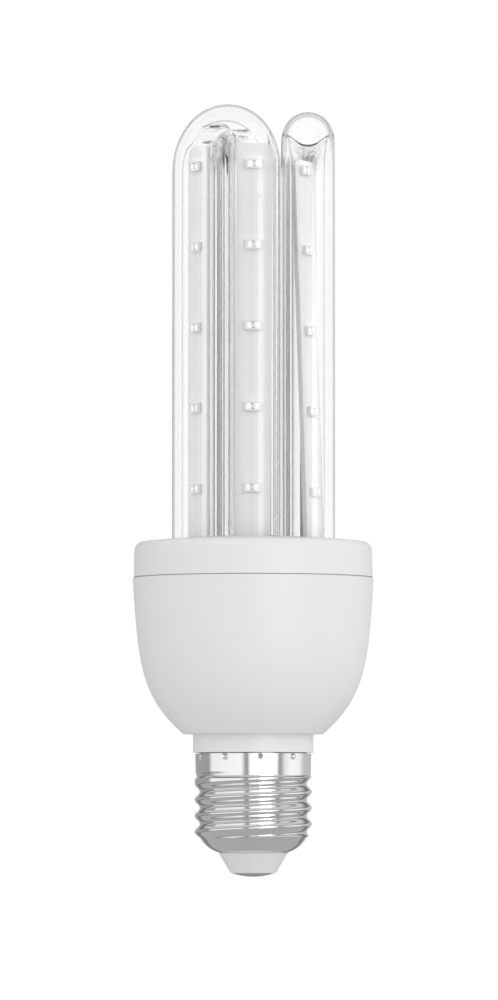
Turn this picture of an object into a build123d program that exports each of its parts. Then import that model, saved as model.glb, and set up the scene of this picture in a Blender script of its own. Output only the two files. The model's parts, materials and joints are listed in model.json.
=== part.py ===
"""LED insect killer lamp on a 27 mm screw cap: three clear glass U-tubes with LED strips inside.

The lamp stands on its contact tip at the origin, its axis is +Z and its front is -Y.
All lengths are in millimetres and all angles in degrees.
"""
from build123d import *
import math
import os

os.makedirs("parts", exist_ok=True)

# Screw cap, rolled from thin sheet
thread_pitch = 3.629
thread_turns = 4
thread_crest_radius = 13.2
thread_depth = 1.1
thread_crest_flat = 0.3
crest_slope = 0.25
thread_length = 13.2
run_out_turns = 0.8
run_out_overlap = 0.02
shell_wall = 0.3
cap_mouth_radius = 7.6
cap_bowl_radius = 7.28
cap_bowl_centre_inset = 1.91
cap_bowl_end_radius = 12.0
cap_shoulder_height = 0.85
skirt_height = 5.2
skirt_radius = 13.12
skirt_taper = 0.14
skirt_step_height = 0.4
skirt_edge_gap = 0.25
punch_count = 10
punch_radius = 0.95
punch_depth = 0.45
punch_below_edge = 0.95
first_punch_angle = -83.0

# Contact and insulator
contact_radius = 4.9
contact_dome_height = 0.85
contact_stem_radius = 1.5
contact_rivet_radius = 2.3
contact_rivet_height = 0.6
insulator_tip_radius = 5.1
insulator_base_radius = 7.8
insulator_cone_height = 4.5
insulator_flange_radius = 10.2
insulator_flange_height = 3.6

# Lower housing
neck_radius = 13.6
neck_height = 4.2
neck_bore_radius = 10.2
spigot_height = 3.3
guide_height = 3.0
guide_radius = 11.4
crimp_groove_depth = 0.45
housing_foot_radius = 15.8
housing_rim_radius = 27.25
housing_height = 35.3
housing_wall = 1.8
foot_curve_reach = 12.8
foot_curve_angle = 41.0
foot_edge_radius = 0.5
rim_curve_reach = 19.4
rim_draft_angle = 3.5
seam_chamfer = 0.3
rib_count = 4
rib_thickness = 1.6
rib_ledge_width = 2.0
first_rib_angle = 45.0

# Upper cover
cover_height = 9.4
seam_step = 0.25
cover_draft = 0.15
cover_edge_radius = 2.0
cover_dome_rise = 1.5
cover_wall = 1.5
lip_depth = 5.5
lip_wall = 1.4
lip_foot_height = 2.0
snap_ridge_height = 0.35
snap_ridge_half_width = 0.45
snap_ridge_drop = 3.2
post_radius = 1.8
post_circle_radius = 20.9
post_count = 3

# Glass tubes
tube_count = 3
tube_radius = 5.85
glass_wall = 0.9
leg_circle_radius = 14.3
first_leg_angle = -149.0
tube_height = 96.9
right_tube_drop = 0.7
rear_tube_drop = 0.3
bend_height = 8.3
bend_crown_radius = 6.3
tube_below_ceiling = 7.9
cement_width = 1.1
cement_height = 3.0

# LED strips and the round board that they stand on
strip_width = 8.1
strip_thickness = 1.0
strip_below_tube_top = 9.15
strip_outer_cut = 1.1
strip_inner_cut = 0.3
strip_face_offset = 0.5
strip_tab_width = 5.0
strip_tab_length = 2.4
lean_face_offset = 2.4
leaning_strip = 3
leaning_strip_shortfall = 2.4
strip_lean_angle = 2.0
tilted_strip = 2
strip_tilt_angle = 0.4
strip_tilt_pivot_height = 91.0
leds_per_strip = 5
led_pitch = 18.2
first_led_drop = 4.6
led_row_offset = -0.1
led_width = 3.9
led_length = 2.1
led_height = 0.8
led_window_margin = 0.35
led_window_depth = 0.15
strip_board_thickness = 1.6
strip_board_level = 0.775

# Driver
driver_board_thickness = 1.6
driver_board_level = 0.37
capacitor_place = (-9.5, 6.5)
capacitor_radius = 4.0
capacitor_height = 9.4
capacitor_edge_radius = 0.6
capacitor_groove_depth = 0.35
capacitor_groove_height = 1.6
film_place = (8.5, -9.5)
film_length = 9.0
film_width = 4.0
film_height = 7.5
film_edge_radius = 0.8
choke_place = (8.5, 6.5)
choke_flange_radius = 4.0
choke_core_radius = 2.0
choke_winding_radius = 3.5
choke_flange_thickness = 1.2
choke_height = 8.0
rectifier_place = (-8.5, -8.5)
rectifier_length = 6.5
rectifier_width = 4.7
rectifier_height = 2.6
rectifier_chamfer = 0.4
chip_length = 4.9
chip_width = 3.9
chip_height = 1.5
chip_lead_count = 4
chip_lead_pitch = 1.27
chip_lead_width = 0.42
chip_lead_reach = 1.0
chip_lead_thickness = 0.2
resistor_y = -13.5
resistor_radius = 1.7
resistor_waist_radius = 1.4
resistor_length = 8.0
resistor_drop = 3.0
resistor_lead_radius = 0.35
resistor_lead_overhang = 1.8
wire_radius = 0.6

# Wires: where they leave the driver board and how they run
shell_lead_angle = 20.0
shell_lead_board_reach = 2.4
shell_lead_board_drop = 3.0
shell_lead_neck_drop = 10.0
shell_lead_spread_drop = 4.0
shell_lead_touch_length = 3.0
shell_lead_bends = (8.0, 12.0, 8.0, 6.0)
contact_lead_reach = 5.0
contact_lead_board_drop = 11.0
contact_lead_rivet_rise = 10.0
contact_lead_bend = 20.0
output_lead_near = (2.0, 12.0)
output_lead_far = (4.0, 13.0)
output_lead_straight_share = 0.3
output_lead_bend = 4.0

# Clearances
fit_gap = 0.1
loose_gap = 0.15
solder_gap = 0.05
board_gap = 0.4

# Heights that follow from the sizes above
insulator_tip_z = contact_dome_height
cap_mouth_z = insulator_tip_z + insulator_cone_height
bowl_centre_r = cap_mouth_radius - cap_bowl_centre_inset
bowl_centre_z = cap_mouth_z + math.sqrt(cap_bowl_radius**2 - cap_bowl_centre_inset**2)
bowl_end_angle = math.acos((cap_bowl_end_radius - bowl_centre_r) / cap_bowl_radius)
thread_bottom_z = bowl_centre_z - cap_bowl_radius * math.sin(bowl_end_angle) + cap_shoulder_height
skirt_bottom_z = thread_bottom_z + thread_length
skirt_top_z = skirt_bottom_z + skirt_height - skirt_edge_gap
neck_bottom_z = skirt_bottom_z + skirt_height
housing_bottom_z = neck_bottom_z + neck_height
seam_z = housing_bottom_z + housing_height
cover_radius = housing_rim_radius - seam_step
cover_apex_z = seam_z + cover_height
ceiling_z = cover_apex_z - cover_dome_rise - cover_wall
tube_top_z = cover_apex_z + tube_height
tube_bottom_z = ceiling_z - tube_below_ceiling


def bowl_point(arc_radius, angle):
    """A point of the cap's bowl on an arc about its centre, at an angle below the horizontal."""
    return (bowl_centre_r + arc_radius * math.cos(angle), bowl_centre_z - arc_radius * math.sin(angle))


def bowl_angle_at(arc_radius, radius):
    """The angle at which such an arc stands at a distance from the lamp's axis."""
    return math.acos((radius - bowl_centre_r) / arc_radius)


def bowl_arc(arc_radius, start_radius, end_angle):
    """The arc of the bowl from a distance from the axis up to an angle."""
    start_angle = bowl_angle_at(arc_radius, start_radius)
    middle_angle = (start_angle + end_angle) / 2
    return ThreePointArc(
        bowl_point(arc_radius, start_angle),
        bowl_point(arc_radius, middle_angle),
        bowl_point(arc_radius, end_angle),
    )


def dome_drop(edge_radius, rise, radius):
    """How far a round dome lies below its apex at a distance from the lamp's axis."""
    sphere_radius = (edge_radius**2 + rise**2) / (2 * rise)
    return sphere_radius - math.sqrt(sphere_radius**2 - radius**2)


def thread_groove(crest_radius, half_width, flank_offset):
    """The rolled groove as a solid: a round-bottomed section swept up the helix, then run out."""
    full_depth_top = skirt_bottom_z - thread_pitch / 2
    groove_bottom = full_depth_top - thread_turns * thread_pitch
    main_height = (thread_turns + run_out_overlap) * thread_pitch
    run_out_height = run_out_turns * thread_pitch
    main_path = Helix(thread_pitch, main_height, crest_radius, center=(0, 0, groove_bottom))
    run_out_path = Helix(
        thread_pitch,
        run_out_height,
        crest_radius,
        center=(0, 0, full_depth_top),
        cone_angle=math.degrees(math.atan2(thread_depth, run_out_height)),
    )
    pieces = []
    for path in (main_path, run_out_path):
        with BuildPart() as piece:
            with BuildSketch(Plane(origin=path @ 0, x_dir=(1, 0, 0), z_dir=path % 0)):
                with BuildLine():
                    Spline(
                        (0, -half_width),
                        (-thread_depth / 2, -flank_offset),
                        (-thread_depth, 0),
                        (-thread_depth / 2, flank_offset),
                        (0, half_width),
                        tangents=((-crest_slope, 1), (crest_slope, 1)),
                    )
                    Polyline(
                        (0, half_width),
                        (thread_depth, half_width),
                        (thread_depth, -half_width),
                        (0, -half_width),
                    )
                make_face()
            sweep(path=path, is_frenet=True)
        pieces.append(piece.part)
    return pieces


# Screw shell: a revolved cap with the groove pressed in, less a core that is smaller by the sheet
groove_half_width = (thread_pitch - thread_crest_flat) / 2
thread_root_radius = thread_crest_radius - thread_depth
shoulder_angle = math.atan2(cap_shoulder_height, thread_crest_radius - cap_bowl_end_radius)
shoulder_lift = shell_wall * math.tan((math.pi / 2 - shoulder_angle) / 2)
skirt_foot_radius = skirt_radius - skirt_taper

flank_offset = thread_pitch / 4
flank_shift = shell_wall * thread_depth / (thread_pitch / 2)
outer_grooves = thread_groove(thread_crest_radius, groove_half_width, flank_offset)
inner_grooves = thread_groove(
    thread_crest_radius - shell_wall,
    groove_half_width + shell_wall / 4,
    flank_offset + flank_shift,
)

with BuildPart() as cap_form:
    with BuildSketch(Plane.XZ):
        with BuildLine():
            bowl = bowl_arc(cap_bowl_radius, cap_mouth_radius, bowl_end_angle)
            Polyline(
                bowl @ 1,
                (thread_crest_radius, thread_bottom_z),
                (thread_crest_radius, skirt_bottom_z - skirt_step_height),
                (skirt_foot_radius, skirt_bottom_z),
                (skirt_radius, skirt_top_z),
                (0, skirt_top_z),
                (0, cap_mouth_z),
                bowl @ 0,
            )
        make_face()
    revolve(axis=Axis.Z)
    for groove in outer_grooves:
        add(groove, mode=Mode.SUBTRACT)

with BuildPart() as cap_core:
    with BuildSketch(Plane.XZ):
        with BuildLine():
            inner_bowl = bowl_arc(cap_bowl_radius - shell_wall, cap_mouth_radius, bowl_end_angle)
            Polyline(
                inner_bowl @ 1,
                (thread_crest_radius - shell_wall, thread_bottom_z + shoulder_lift),
                (thread_crest_radius - shell_wall, skirt_bottom_z - skirt_step_height),
                (skirt_foot_radius - shell_wall, skirt_bottom_z),
                (skirt_radius - shell_wall, skirt_top_z),
                (0, skirt_top_z),
                (0, cap_mouth_z),
                (cap_mouth_radius, cap_mouth_z),
                inner_bowl @ 0,
            )
        make_face()
    revolve(axis=Axis.Z)
    for groove in inner_grooves:
        add(groove, mode=Mode.SUBTRACT)

punch_z = neck_bottom_z - punch_below_edge
punch_circle_radius = skirt_radius + punch_radius - punch_depth
with BuildPart() as punch_backs:
    with Locations((0, 0, punch_z)):
        with PolarLocations(punch_circle_radius, punch_count, first_punch_angle):
            Sphere(punch_radius + shell_wall)
    Cylinder(
        skirt_foot_radius,
        skirt_top_z,
        align=(Align.CENTER, Align.CENTER, Align.MIN),
        mode=Mode.INTERSECT,
    )

with BuildPart() as screw_shell:
    add(cap_form.part)
    add(cap_core.part, mode=Mode.SUBTRACT)
    add(punch_backs.part)
    with Locations((0, 0, punch_z)):
        with PolarLocations(punch_circle_radius, punch_count, first_punch_angle):
            Sphere(punch_radius, mode=Mode.SUBTRACT)
screw_shell.part.label = "screw_shell"
export_step(screw_shell.part, "parts/screw_shell.step")

# Insulator: a cone below the shell, with a flange that grips the inside of the bowl
seat_arc_radius = cap_bowl_radius - shell_wall - fit_gap
seat_neck_radius = cap_mouth_radius - fit_gap
seat_angle = bowl_angle_at(seat_arc_radius, insulator_flange_radius)
flange_top_z = cap_mouth_z + insulator_flange_height
contact_bore_radius = contact_stem_radius + fit_gap

with BuildPart() as cap_insulator:
    with BuildSketch(Plane.XZ):
        with BuildLine():
            seat = bowl_arc(seat_arc_radius, seat_neck_radius, seat_angle)
            Polyline(
                seat @ 1,
                (insulator_flange_radius, flange_top_z),
                (contact_bore_radius, flange_top_z),
                (contact_bore_radius, insulator_tip_z),
                (insulator_tip_radius, insulator_tip_z),
                (insulator_base_radius, cap_mouth_z),
                (seat_neck_radius, cap_mouth_z),
                seat @ 0,
            )
        make_face()
    revolve(axis=Axis.Z)
cap_insulator.part.label = "cap_insulator"
export_step(cap_insulator.part, "parts/cap_insulator.step")

# Centre contact: a domed head and a stem that is riveted over the insulator
half_contact = contact_radius / 2
half_contact_z = dome_drop(contact_radius, contact_dome_height, half_contact)
rivet_top_z = flange_top_z + contact_rivet_height

with BuildPart() as centre_contact:
    with BuildSketch(Plane.XZ):
        with BuildLine():
            ThreePointArc(
                (0, 0),
                (half_contact, half_contact_z),
                (contact_radius, contact_dome_height),
            )
            Polyline(
                (contact_radius, contact_dome_height),
                (contact_stem_radius, contact_dome_height),
                (contact_stem_radius, flange_top_z),
                (contact_rivet_radius, flange_top_z),
                (contact_stem_radius, rivet_top_z),
                (0, rivet_top_z),
                (0, 0),
            )
        make_face()
    revolve(axis=Axis.Z)
centre_contact.part.label = "centre_contact"
export_step(centre_contact.part, "parts/centre_contact.step")


def cup_curve(inset):
    """The cup's side from its foot to its rim, moved inwards by a wall."""
    foot = math.radians(foot_curve_angle)
    rim = math.radians(rim_draft_angle)
    start = Vector(
        housing_foot_radius - inset * math.sin(foot),
        housing_bottom_z + inset * math.cos(foot),
    )
    end = Vector(housing_rim_radius - inset, seam_z)
    return Bezier(
        start,
        start + Vector(math.cos(foot), math.sin(foot)) * foot_curve_reach,
        end - Vector(math.sin(rim), math.cos(rim)) * rim_curve_reach,
        end,
    )


# Lower housing: neck and spigot in the cap, a bowl-shaped cup, and four ribs that carry the boards
spigot_radius = skirt_foot_radius - shell_wall - fit_gap
spigot_bottom_z = neck_bottom_z - spigot_height
guide_bottom_z = spigot_bottom_z - guide_height
crimp_height = punch_below_edge + punch_radius + shell_wall
inner_cup = cup_curve(housing_wall)
cup_floor_z = (inner_cup @ 0).Y
driver_shelf = inner_cup @ driver_board_level
strip_shelf = inner_cup @ strip_board_level
driver_board_radius = driver_shelf.X - fit_gap - rib_thickness / 2
strip_board_radius = strip_shelf.X - board_gap
driver_board_z = driver_shelf.Y
strip_board_z = strip_shelf.Y
lip_radius = housing_rim_radius - housing_wall - fit_gap
rim_slope = math.tan(math.radians(rim_draft_angle))
lip_end_radius = lip_radius - lip_depth * rim_slope - fit_gap
snap_z = seam_z - snap_ridge_drop
snap_circle_radius = lip_radius - snap_ridge_drop * rim_slope


def snap_profile(base_radius, tip_radius):
    """Three-sided profile of the snap ridge, and of the groove that it clicks into."""
    return Polyline(
        (base_radius, snap_z - snap_ridge_half_width),
        (tip_radius, snap_z),
        (base_radius, snap_z + snap_ridge_half_width),
        close=True,
    )



with BuildPart() as cup_space:
    with BuildSketch(Plane.XZ):
        with BuildLine():
            middle = cup_curve(housing_wall / 2)
            Polyline(middle @ 1, (0, seam_z), (0, (middle @ 0).Y), middle @ 0)
        make_face()
    revolve(axis=Axis.Z)

with BuildPart() as board_ribs:
    for index in range(rib_count):
        angle = first_rib_angle + index * 360 / rib_count
        with BuildSketch(Plane.XZ.rotated((0, 0, angle))):
            with BuildLine():
                Polyline(
                    (driver_board_radius - rib_ledge_width, cup_floor_z - fit_gap),
                    (driver_board_radius - rib_ledge_width, driver_board_z),
                    (driver_board_radius + fit_gap, driver_board_z),
                    (driver_board_radius + fit_gap, strip_board_z),
                    (housing_rim_radius, strip_board_z),
                    (housing_rim_radius, cup_floor_z - fit_gap),
                    close=True,
                )
            make_face()
        extrude(amount=rib_thickness / 2, both=True)
    add(cup_space.part, mode=Mode.INTERSECT)

with BuildPart() as lower_housing:
    with BuildSketch(Plane.XZ) as housing_profile:
        with BuildLine():
            outer_side = cup_curve(0)
            inner_side = cup_curve(housing_wall)
            Polyline(outer_side @ 1, inner_side @ 1)
            Polyline(
                inner_side @ 0,
                (neck_bore_radius, cup_floor_z),
                (neck_bore_radius, guide_bottom_z),
                (guide_radius, guide_bottom_z),
                (guide_radius, spigot_bottom_z),
                (spigot_radius, spigot_bottom_z),
                (spigot_radius, neck_bottom_z - crimp_height),
                (spigot_radius - crimp_groove_depth, neck_bottom_z - crimp_height),
                (spigot_radius - crimp_groove_depth, neck_bottom_z),
                (neck_radius, neck_bottom_z),
                (neck_radius, housing_bottom_z),
                outer_side @ 0,
            )
        make_face()
        foot_corner = housing_profile.vertices().sort_by_distance(outer_side @ 0)[0]
        fillet(foot_corner, foot_edge_radius)
    revolve(axis=Axis.Z)
    rim_edge = lower_housing.edges().filter_by(GeomType.CIRCLE).group_by(Axis.Z)[-1].sort_by(
        SortBy.RADIUS
    )[-1]
    chamfer(rim_edge, seam_chamfer)
    with BuildSketch(Plane.XZ):
        with BuildLine():
            snap_profile(snap_circle_radius, snap_circle_radius + snap_ridge_height + loose_gap)
        make_face()
    revolve(axis=Axis.Z, mode=Mode.SUBTRACT)
    add(board_ribs.part)
lower_housing.part.label = "lower_housing"
export_step(lower_housing.part, "parts/lower_housing.step")

# Places of the tube legs and the way that each one faces
leg_count = 2 * tube_count
leg_step_angle = 360 / leg_count
first_post_angle = first_leg_angle + leg_step_angle + leg_step_angle / 2
leg_angles = [first_leg_angle + leg_step_angle * index for index in range(leg_count)]


def leg_centre(angle):
    """The centre of a tube leg at an angle about the lamp's axis."""
    turned = math.radians(angle)
    return Vector(math.cos(turned), math.sin(turned)) * leg_circle_radius


# Upper cover: a shallow lid with a snap lip, six tube holes and three posts on the strip board
cover_edge_z = cover_apex_z - cover_dome_rise
cover_top_radius = cover_radius - cover_draft
half_cover = cover_top_radius / 2
cover_inner_radius = cover_radius - cover_wall
lip_inner_radius = lip_end_radius - lip_wall
post_bottom_z = strip_board_z + strip_board_thickness + fit_gap

with BuildPart() as upper_cover:
    with BuildSketch(Plane.XZ) as cover_profile:
        with BuildLine():
            ThreePointArc(
                (0, cover_apex_z),
                (half_cover, cover_apex_z - dome_drop(cover_top_radius, cover_dome_rise, half_cover)),
                (cover_top_radius, cover_edge_z),
            )
            Polyline(
                (cover_top_radius, cover_edge_z),
                (cover_radius, seam_z),
                (lip_radius, seam_z),
                (lip_end_radius, seam_z - lip_depth),
                (lip_inner_radius, seam_z - lip_depth),
                (lip_inner_radius, seam_z + lip_foot_height),
                (cover_inner_radius, seam_z + lip_foot_height),
                (cover_inner_radius - cover_draft, ceiling_z),
                (0, ceiling_z),
                (0, cover_apex_z),
            )
        make_face()
        corners = cover_profile.vertices()
        fillet(corners.sort_by_distance((cover_top_radius, cover_edge_z))[0], cover_edge_radius)
        chamfer(corners.sort_by_distance((cover_radius, seam_z))[0], seam_chamfer)
    revolve(axis=Axis.Z)
    with BuildSketch(Plane.XZ):
        with BuildLine():
            snap_profile(snap_circle_radius - 2 * fit_gap, snap_circle_radius + snap_ridge_height)
        make_face()
    revolve(axis=Axis.Z)
    with BuildSketch(Plane.XY.offset(post_bottom_z)):
        with PolarLocations(post_circle_radius, post_count, first_post_angle):
            Circle(post_radius)
    extrude(amount=ceiling_z - post_bottom_z + cover_wall / 2)
    with BuildSketch(Plane.XY.offset(ceiling_z)):
        with PolarLocations(leg_circle_radius, leg_count, first_leg_angle):
            Circle(tube_radius + loose_gap)
    extrude(amount=cover_apex_z - ceiling_z, mode=Mode.SUBTRACT)
upper_cover.part.label = "upper_cover"
export_step(upper_cover.part, "parts/upper_cover.step")

# Glass tubes: one round section swept up a leg, over a taller than wide bend and down again
half_span = leg_circle_radius * math.sin(math.radians(leg_step_angle / 2))
bend_side_radius = (half_span**2 + bend_height * (bend_height - 2 * bend_crown_radius)) / (
    2 * (half_span - bend_crown_radius)
)
bend_angle = math.degrees(
    math.atan2(bend_height - bend_crown_radius, bend_side_radius - half_span)
)
tube_names = ["glass_tube_left", "glass_tube_right", "glass_tube_rear"]
tube_drops = [0.0, right_tube_drop, rear_tube_drop]

for index in range(tube_count):
    first_foot = leg_centre(leg_angles[2 * index])
    second_foot = leg_centre(leg_angles[2 * index + 1])
    span = (second_foot - first_foot).normalized()
    bend_plane = Plane(
        origin=(first_foot + second_foot) / 2,
        x_dir=span,
        z_dir=(span.Y, -span.X, 0),
    )
    bend_z = tube_top_z - tube_drops[index] - tube_radius - bend_height
    with BuildPart() as glass_tube:
        with BuildLine(bend_plane) as bend:
            Line((-half_span, tube_bottom_z), (-half_span, bend_z))
            CenterArc(
                (bend_side_radius - half_span, bend_z),
                bend_side_radius,
                180,
                -bend_angle,
            )
            CenterArc(
                (0, bend_z + bend_height - bend_crown_radius),
                bend_crown_radius,
                180 - bend_angle,
                2 * bend_angle - 180,
            )
            CenterArc(
                (half_span - bend_side_radius, bend_z),
                bend_side_radius,
                bend_angle,
                -bend_angle,
            )
            Line((half_span, bend_z), (half_span, tube_bottom_z))
        with BuildSketch(Plane((first_foot.X, first_foot.Y, tube_bottom_z))):
            Circle(tube_radius)
            Circle(tube_radius - glass_wall, mode=Mode.SUBTRACT)
        sweep(path=bend.wire())
    glass_tube.part.label = tube_names[index]
    export_step(glass_tube.part, f"parts/{tube_names[index]}.step")

# Tube cement: a ring round each leg under the cover's ceiling
with BuildPart() as tube_cement:
    with BuildSketch(Plane.XY.offset(ceiling_z)):
        with PolarLocations(leg_circle_radius, leg_count, first_leg_angle):
            Circle(tube_radius + solder_gap + cement_width)
            Circle(tube_radius + solder_gap, mode=Mode.SUBTRACT)
    extrude(amount=-cement_height)
tube_cement.part.label = "tube_cement"
export_step(tube_cement.part, "parts/tube_cement.step")

# LED strips: narrow boards that stand in slots and carry five packages each on their outer face
strip_board_top_z = strip_board_z + strip_board_thickness
strip_foot_z = strip_board_top_z + solder_gap


def strip_length_of(number):
    """The length of a strip from the round board up to its end inside the tube."""
    tube_index = (number - 1) // 2
    strip_top_z = tube_top_z - tube_drops[tube_index] - strip_below_tube_top
    if number == leaning_strip:
        strip_top_z -= leaning_strip_shortfall
    return strip_top_z - strip_foot_z


def strip_foot_offsets(number):
    """How far a strip's outer face stands outwards and sideways of its leg's centre."""
    outwards = lean_face_offset if number == leaning_strip else strip_face_offset
    tilt = math.radians(strip_tilt_angle if number == tilted_strip else 0)
    return outwards, -math.tan(tilt) * strip_tilt_pivot_height


def strip_face(number):
    """The plane of a strip's outer face, with +Y up the strip and its origin at the board."""
    leg = leg_centre(leg_angles[number - 1])
    outward = leg.normalized()
    across = Vector(-outward.Y, outward.X)
    lean = math.radians(strip_lean_angle if number == leaning_strip else 0)
    tilt = math.radians(strip_tilt_angle if number == tilted_strip else 0)
    outwards, sideways = strip_foot_offsets(number)
    foot = leg + outward * outwards + across * sideways + Vector(0, 0, strip_foot_z)
    facing = outward * math.cos(lean) + Vector(0, 0, math.sin(lean))
    level = across * math.cos(tilt) - Vector(0, 0, math.sin(tilt))
    return Plane(origin=foot, x_dir=level, z_dir=facing)


for number in range(1, leg_count + 1):
    face = strip_face(number)
    strip_length = strip_length_of(number)
    first_led_height = strip_length - first_led_drop
    if number == leaning_strip:
        first_led_height += leaning_strip_shortfall
    outer_side = -1 if number % 2 else 1
    with BuildPart() as led_strip:
        with BuildSketch(face) as outline:
            with Locations((0, strip_length / 2)):
                Rectangle(strip_width, strip_length)
            for side, cut in ((outer_side, strip_outer_cut), (-outer_side, strip_inner_cut)):
                corner = (side * strip_width / 2, strip_length)
                chamfer(outline.vertices().sort_by_distance(corner)[0], cut)
            with Locations((0, -strip_tab_length / 2)):
                Rectangle(strip_tab_width, strip_tab_length)
        extrude(amount=-strip_thickness)
    led_strip.part.label = f"led_strip_{number}"
    export_step(led_strip.part, f"parts/led_strip_{number}.step")

    with BuildPart() as led_chips:
        for place in range(leds_per_strip):
            centre = (led_row_offset, first_led_height - place * led_pitch)
            with BuildSketch(face):
                with Locations(centre):
                    Rectangle(led_width, led_length)
            extrude(amount=led_height)
            with BuildSketch(face.offset(led_height)):
                with Locations(centre):
                    Rectangle(led_width - 2 * led_window_margin, led_length - 2 * led_window_margin)
            extrude(amount=-led_window_depth, mode=Mode.SUBTRACT)
    led_chips.part.label = f"led_chips_{number}"
    export_step(led_chips.part, f"parts/led_chips_{number}.step")

with BuildPart() as strip_board:
    with BuildSketch(Plane.XY.offset(strip_board_z)):
        Circle(strip_board_radius)
    extrude(amount=strip_board_thickness)
    for index in range(leg_count):
        outwards, sideways = strip_foot_offsets(index + 1)
        with BuildSketch(Plane.XY.offset(strip_board_z)):
            with Locations(Location(leg_centre(leg_angles[index]), (0, 0, leg_angles[index]))):
                with Locations((outwards - strip_thickness / 2, sideways)):
                    Rectangle(
                        strip_thickness + 2 * loose_gap,
                        strip_tab_width + 2 * loose_gap,
                    )
        extrude(amount=strip_board_thickness, mode=Mode.SUBTRACT)
strip_board.part.label = "strip_board"
export_step(strip_board.part, "parts/strip_board.step")

# Driver board: a round board on the ribs' shelves, with the parts of a simple mains driver
driver_top_z = driver_board_z + driver_board_thickness
driver_plane = Plane.XY.offset(driver_top_z)

with BuildPart() as driver_board:
    with BuildSketch(Plane.XY.offset(driver_board_z)):
        Circle(driver_board_radius)
    extrude(amount=driver_board_thickness)
driver_board.part.label = "driver_board"
export_step(driver_board.part, "parts/driver_board.step")

with BuildPart() as smoothing_capacitor:
    with BuildSketch(driver_plane):
        with Locations(capacitor_place):
            Circle(capacitor_radius)
    extrude(amount=capacitor_height)
    fillet(smoothing_capacitor.edges().group_by(Axis.Z)[-1], capacitor_edge_radius)
    with BuildSketch(driver_plane.offset(capacitor_groove_height)):
        with Locations(capacitor_place):
            Circle(capacitor_radius)
            Circle(capacitor_radius - capacitor_groove_depth, mode=Mode.SUBTRACT)
    extrude(amount=capacitor_groove_depth, mode=Mode.SUBTRACT)
smoothing_capacitor.part.label = "smoothing_capacitor"
export_step(smoothing_capacitor.part, "parts/smoothing_capacitor.step")

with BuildPart() as film_capacitor:
    with BuildSketch(driver_plane):
        with Locations(film_place):
            Rectangle(film_length, film_width)
    extrude(amount=film_height)
    fillet(film_capacitor.edges().group_by(Axis.Z)[-1], film_edge_radius)
film_capacitor.part.label = "film_capacitor"
export_step(film_capacitor.part, "parts/film_capacitor.step")

choke_waist_height = choke_height - 2 * choke_flange_thickness
with BuildPart() as choke_core:
    with BuildSketch(driver_plane):
        with Locations(choke_place):
            Circle(choke_flange_radius)
    extrude(amount=choke_height)
    with BuildSketch(driver_plane.offset(choke_flange_thickness)):
        with Locations(choke_place):
            Circle(choke_flange_radius)
            Circle(choke_core_radius, mode=Mode.SUBTRACT)
    extrude(amount=choke_waist_height, mode=Mode.SUBTRACT)
choke_core.part.label = "choke_core"
export_step(choke_core.part, "parts/choke_core.step")

with BuildPart() as choke_winding:
    with BuildSketch(driver_plane.offset(choke_flange_thickness)):
        with Locations(choke_place):
            Circle(choke_winding_radius)
            Circle(choke_core_radius + solder_gap, mode=Mode.SUBTRACT)
    extrude(amount=choke_waist_height)
choke_winding.part.label = "choke_winding"
export_step(choke_winding.part, "parts/choke_winding.step")

with BuildPart() as bridge_rectifier:
    with BuildSketch(driver_plane):
        with Locations(rectifier_place):
            Rectangle(rectifier_width, rectifier_length)
    extrude(amount=rectifier_height)
    chamfer(bridge_rectifier.edges().group_by(Axis.Z)[-1], rectifier_chamfer)
bridge_rectifier.part.label = "bridge_rectifier"
export_step(bridge_rectifier.part, "parts/bridge_rectifier.step")

with BuildPart() as driver_chip:
    with BuildSketch(driver_plane.offset(chip_lead_thickness)):
        Rectangle(chip_length, chip_width)
    extrude(amount=chip_height - chip_lead_thickness)
    with BuildSketch(driver_plane):
        with GridLocations(chip_lead_pitch, 0, chip_lead_count, 1):
            Rectangle(chip_lead_width, chip_width + 2 * chip_lead_reach)
    extrude(amount=chip_lead_thickness)
driver_chip.part.label = "driver_chip"
export_step(driver_chip.part, "parts/driver_chip.step")

# Input resistor: a waisted barrel below the board, on two bent leads
resistor_z = driver_board_z - resistor_drop
lead_end_x = resistor_length / 2 + resistor_lead_overhang
with BuildPart() as input_resistor:
    with BuildSketch(Plane.XY.offset(resistor_z)):
        with BuildLine(Location((0, resistor_y))):
            ThreePointArc(
                (-resistor_length / 2, resistor_radius),
                (0, resistor_waist_radius),
                (resistor_length / 2, resistor_radius),
            )
            Polyline(
                (resistor_length / 2, resistor_radius),
                (resistor_length / 2, 0),
                (-resistor_length / 2, 0),
                (-resistor_length / 2, resistor_radius),
            )
        make_face()
    revolve(axis=Axis((0, resistor_y, resistor_z), (1, 0, 0)))
    with BuildLine() as resistor_lead:
        FilletPolyline(
            (-lead_end_x, resistor_y, driver_board_z),
            (-lead_end_x, resistor_y, resistor_z),
            (lead_end_x, resistor_y, resistor_z),
            (lead_end_x, resistor_y, driver_board_z),
            radius=2 * resistor_lead_radius,
        )
    with BuildSketch(Plane((-lead_end_x, resistor_y, driver_board_z))):
        Circle(resistor_lead_radius)
    sweep(path=resistor_lead.wire())
input_resistor.part.label = "input_resistor"
export_step(input_resistor.part, "parts/input_resistor.step")


def wire_along(points, radii):
    """A round wire along straight runs that are joined by arcs."""
    with BuildLine() as route:
        FilletPolyline(*points, radius=radii)
    with BuildPart() as wire:
        with BuildSketch(Plane(origin=route.wire() @ 0, z_dir=route.wire() % 0)):
            Circle(wire_radius)
        sweep(path=route.wire())
    return wire


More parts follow.
